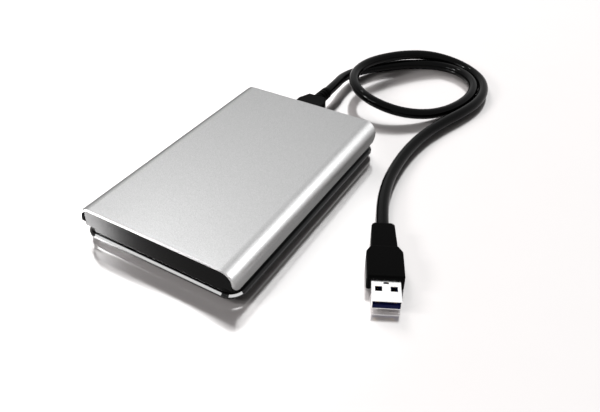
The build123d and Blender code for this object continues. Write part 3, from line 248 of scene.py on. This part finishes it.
def spread(tree, factor, low, high):
    """Stretches the middle of a noise over a range of values."""
    node = tree.nodes.new("ShaderNodeMapRange")
    node.inputs["From Min"].default_value = NOISE_LOW
    node.inputs["From Max"].default_value = NOISE_HIGH
    node.inputs["To Min"].default_value = low
    node.inputs["To Max"].default_value = high
    tree.links.new(factor, node.inputs["Value"])
    return node.outputs["Result"]


def blend_colours(tree, factor, dark, light):
    """A colour between two colours."""
    node = tree.nodes.new("ShaderNodeMix")
    node.data_type = "RGBA"
    node.inputs["A"].default_value = (*dark, 1)
    node.inputs["B"].default_value = (*light, 1)
    tree.links.new(spread(tree, factor, 0, 1), node.inputs["Factor"])
    return node.outputs["Result"]


def add_bump(tree, shader, height, distance):
    """A fine relief on the surface, with its depth in metres."""
    node = tree.nodes.new("ShaderNodeBump")
    node.inputs["Distance"].default_value = distance
    tree.links.new(height, node.inputs["Height"])
    tree.links.new(node.outputs["Normal"], shader.inputs["Normal"])


# Materials
def grained(name, finish):
    """A material with fine grain in its colour and relief, and broad grain in its roughness."""
    material = new_material(name)
    tree = material.node_tree
    shader = principled(material)
    fine = noise(tree, finish.grain, detail=4.0)
    broad = noise(tree, finish.grain / BROAD_GRAIN)
    dark = [value * (1 - finish.contrast) for value in finish.colour]
    light = [value * (1 + finish.contrast) for value in finish.colour]
    smoothest = finish.roughness * (1 - ROUGHNESS_SPREAD)
    roughest = finish.roughness * (1 + ROUGHNESS_SPREAD)
    tree.links.new(blend_colours(tree, fine, dark, light), shader.inputs["Base Color"])
    tree.links.new(spread(tree, broad, smoothest, roughest), shader.inputs["Roughness"])
    shader.inputs["Metallic"].default_value = finish.metallic
    shader.inputs["Specular IOR Level"].default_value = finish.specular
    add_bump(tree, shader, fine, finish.relief)
    return material


def silver_cover():
    """Satin silver with a fine metallic grain."""
    material = new_material("silver_cover")
    tree = material.node_tree
    shader = principled(material)
    flakes = noise(tree, SILVER_FLAKES)
    clouds = noise(tree, SILVER_CLOUDS, detail=2.0)
    colour = blend_colours(tree, flakes, SILVER_DARK, SILVER_LIGHT)
    tree.links.new(colour, shader.inputs["Base Color"])
    tree.links.new(spread(tree, clouds, *SILVER_ROUGHNESS), shader.inputs["Roughness"])
    shader.inputs["Metallic"].default_value = 1.0
    shader.inputs["Specular Tint"].default_value = SILVER_EDGE_TINT
    add_bump(tree, shader, flakes, SILVER_RELIEF)
    return material


def black_gloss(name, specular):
    """Polished black moulding with faint waves and specks of dust."""
    material = new_material(name)
    tree = material.node_tree
    shader = principled(material)
    waves = noise(tree, GLOSS_WAVES, detail=2.0)
    specks = noise(tree, GLOSS_SPECKS, detail=5.0)
    colour = blend_colours(tree, specks, GLOSS_DARK, GLOSS_LIGHT)
    tree.links.new(colour, shader.inputs["Base Color"])
    tree.links.new(spread(tree, waves, *GLOSS_ROUGHNESS), shader.inputs["Roughness"])
    shader.inputs["Specular IOR Level"].default_value = specular
    add_bump(tree, shader, waves, GLOSS_RELIEF)
    return material


def clear_plastic():
    """Clear light pipe with a faint haze."""
    material = grained("clear_plastic", FINISHES["clear_plastic"])
    shader = principled(material)
    shader.inputs["Transmission Weight"].default_value = PIPE_TRANSMISSION
    shader.inputs["IOR"].default_value = PIPE_IOR
    return material


def make_material(slot):
    """The finished material of a slot."""
    if slot == "silver_cover":
        return silver_cover()
    if slot == "black_gloss":
        return black_gloss(slot, FRAME_SPECULAR)
    if slot == "clear_plastic":
        return clear_plastic()
    return grained(slot, FINISHES[slot])


def dress(node, material):
    """Gives a node its material."""
    mesh = frame["nodes"][node].data
    mesh.materials.clear()
    mesh.materials.append(material)


materials = {entry["slot"]: make_material(entry["slot"]) for entry in frame["record"]["materials"]}
for subpart in frame["record"]["subparts"]:
    dress(subpart["node"], materials[subpart["material_slot"]])
dress("bottom_cover", black_gloss("black_gloss_base", BASE_SPECULAR))


# Cable: one smooth line through the route
def make_cable():
    """The cable's round jacket along its route."""
    curve = bpy.data.curves.new("cable_jacket", "CURVE")
    curve.dimensions = "3D"
    curve.bevel_depth = CABLE_DIAMETER / 2
    curve.bevel_resolution = CABLE_ROUNDNESS
    curve.resolution_u = CABLE_SEGMENTS
    spline = curve.splines.new("NURBS")
    spline.points.add(len(CABLE_ROUTE) - 1)
    for point, place in zip(spline.points, CABLE_ROUTE):
        point.co = (*[value / 1000 for value in place], 1)
    spline.order_u = 3
    spline.use_endpoint_u = True
    curve.materials.append(materials["cable_black"])
    cable = bpy.data.objects.new("cable_jacket", curve)
    scene.collection.objects.link(cable)
    return cable


cable = make_cable()
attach(cable, "case")
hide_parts("usb_cable")


# Studio
def shown_ray(tree):
    """One where the ray comes from the camera, a reflection or through glass."""
    path = tree.nodes.new("ShaderNodeLightPath")
    total = path.outputs["Is Camera Ray"]
    for name in ("Is Glossy Ray", "Is Transmission Ray"):
        node = tree.nodes.new("ShaderNodeMath")
        node.operation = "MAXIMUM"
        tree.links.new(total, node.inputs[0])
        tree.links.new(path.outputs[name], node.inputs[1])
        total = node.outputs[0]
    return total


def make_floor():
    """A wide white table with a polished top, which mirrors what stands on it."""
    bpy.ops.mesh.primitive_plane_add(size=FLOOR_SIZE)
    floor = bpy.context.object
    floor.name = "floor"
    material = grained("floor_white", FLOOR_POLISH)
    tree = material.node_tree
    dull = tree.nodes.new("ShaderNodeBsdfDiffuse")
    dull.inputs["Color"].default_value = FLOOR_DULL_COLOUR
    mix = tree.nodes.new("ShaderNodeMixShader")
    mix.inputs[0].default_value = FLOOR_DULL_SHARE
    tree.links.new(principled(material).outputs["BSDF"], mix.inputs[1])
    tree.links.new(dull.outputs["BSDF"], mix.inputs[2])
    tree.links.new(mix.outputs[0], tree.nodes["Material Output"].inputs["Surface"])
    floor.data.materials.append(material)
    return floor


def make_world():
    """Even pale surroundings, white where they are seen or mirrored."""
    world = bpy.data.worlds.new("studio")
    world.use_nodes = True
    tree = world.node_tree
    background = tree.nodes["Background"]
    background.inputs["Color"].default_value = (1, 1, 1, 1)
    level = tree.nodes.new("ShaderNodeMapRange")
    level.inputs["To Min"].default_value = WORLD_FILL
    level.inputs["To Max"].default_value = WORLD_SHOWN
    tree.links.new(shown_ray(tree), level.inputs["Value"])
    tree.links.new(level.outputs["Result"], background.inputs["Strength"])
    scene.world = world


def aim(place, target):
    """The turn that points a lamp or the camera from its place to its target."""
    return (Vector(target) - Vector(place)).to_track_quat("-Z", "Y")


def make_lamp(name, lamp):
    """A soft light on everything, or only on the nodes that the lamp names."""
    data = bpy.data.lights.new(name, "AREA")
    data.shape = "RECTANGLE"
    data.size, data.size_y = lamp.size
    data.energy = lamp.power
    light = bpy.data.objects.new(name, data)
    light.location = lamp.place
    light.visible_glossy = lamp.mirrored
    roll = Quaternion((0, 0, 1), radians(lamp.roll))
    light.rotation_euler = (aim(lamp.place, lamp.target) @ roll).to_euler()
    scene.collection.objects.link(light)
    if lamp.only:
        receivers = bpy.data.collections.new(f"{name}_receivers")
        for node in lamp.only:
            receivers.objects.link(frame["nodes"][node])
        light.light_linking.receiver_collection = receivers


def make_camera():
    """The photograph's viewpoint."""
    data = bpy.data.cameras.new("camera")
    data.sensor_width = CAMERA_SENSOR
    data.lens = CAMERA_LENS
    data.clip_start = CAMERA_NEAR
    camera = bpy.data.objects.new("camera", data)
    camera.location = CAMERA_PLACE
    camera.rotation_euler = aim(CAMERA_PLACE, CAMERA_TARGET).to_euler()
    scene.collection.objects.link(camera)
    scene.camera = camera


make_floor()
make_world()
for name, lamp in LAMPS.items():
    make_lamp(name, lamp)
make_camera()
